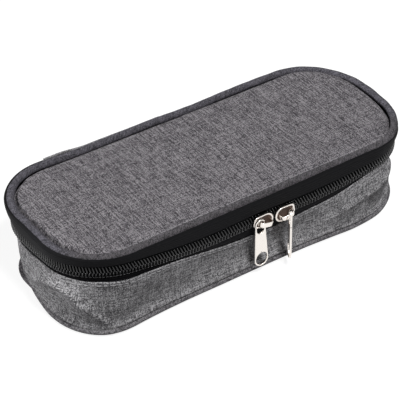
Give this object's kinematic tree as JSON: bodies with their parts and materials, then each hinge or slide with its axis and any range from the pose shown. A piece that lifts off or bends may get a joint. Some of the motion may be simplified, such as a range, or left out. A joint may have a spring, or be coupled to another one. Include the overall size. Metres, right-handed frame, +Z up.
{
  "type": "insulin cooling case",
  "caption": "Soft zipped case that keeps insulin pens cool: grey woven shell, piped hinged lid, black zip with metal sliders, foil lined foam walls, cold packs, pen loops.",
  "frame": {"origin": "centre of the flat underside of the base panel, on the surface that the case stands on", "axes": "+X along the case's length, -Y out of the zipped front, +Z up"},
  "size_m": [0.205, 0.0926, 0.046],
  "materials": {
    "heather_fabric": "woven heather polyester",
    "piping_fabric": "woven heather polyester over a cord",
    "zip_tape": "black woven zip tape",
    "zip_coil": "black polyester coil",
    "nickel": "polished nickel plate",
    "foam": "closed cell foam sheet",
    "foil_lining": "foil laminate",
    "binding": "black binding tape",
    "gel_pack": "gel in a welded film pouch",
    "divider_fabric": "fabric covered foam pad",
    "elastic": "black woven elastic",
    "net": "black knitted net"
  },
  "bodies": {
    "base": {"base_panel": "heather_fabric", "base_piping": "piping_fabric", "base_foam": "foam", "base_lining": "foil_lining", "side_wall": "heather_fabric", "back_wall": "heather_fabric", "wall_foam": "foam", "wall_lining": "foil_lining", "base_rim_binding": "binding", "base_zip_tape": "zip_tape", "base_zip_coil": "zip_coil", "gel_pack_left": "gel_pack", "gel_pack_right": "gel_pack", "divider_pad": "divider_fabric", "pen_elastic_left": "elastic", "pen_elastic_right": "elastic", "back_hinge": "heather_fabric"},
    "lid": {"lid_panel": "heather_fabric", "lid_piping": "piping_fabric", "lid_foam": "foam", "lid_lining": "foil_lining", "lid_rim_binding": "binding", "pocket_net": "net", "pocket_binding": "binding", "lid_zip_tape": "zip_tape", "lid_zip_coil": "zip_coil"},
    "slider_left": {"left_slider": "nickel"},
    "slider_right": {"right_slider": "nickel"},
    "pull_left": {"left_pull": "nickel"},
    "pull_right": {"right_pull": "nickel"}
  },
  "joints": [
    {"name": "lid_hinge", "type": "hinge", "parent": "base", "child": "lid", "pos_m": [0, 0.043, 0.03375], "axis": [-1, 0, 0], "range_deg": [0, 180], "deforming": ["back_hinge"]},
    {"name": "left_slider_run", "type": "slide", "parent": "base", "child": "slider_left", "axis": [1, 0, 0], "range_m": [-0.046, 0]},
    {"name": "right_slider_run", "type": "slide", "parent": "base", "child": "slider_right", "axis": [1, 0, 0], "range_m": [0, 0.038]},
    {"name": "left_pull_swing", "type": "hinge", "parent": "slider_left", "child": "pull_left", "pos_m": [-0.00068, -0.04455, 0.03088], "axis": [0, 1, 0], "range_deg": [-20, 60]},
    {"name": "right_pull_lift", "type": "hinge", "parent": "slider_right", "child": "pull_right", "pos_m": [0.01639, -0.04635, 0.02993], "axis": [-0.9816, 0, -0.1908], "range_deg": [0, 170]}
  ]
}
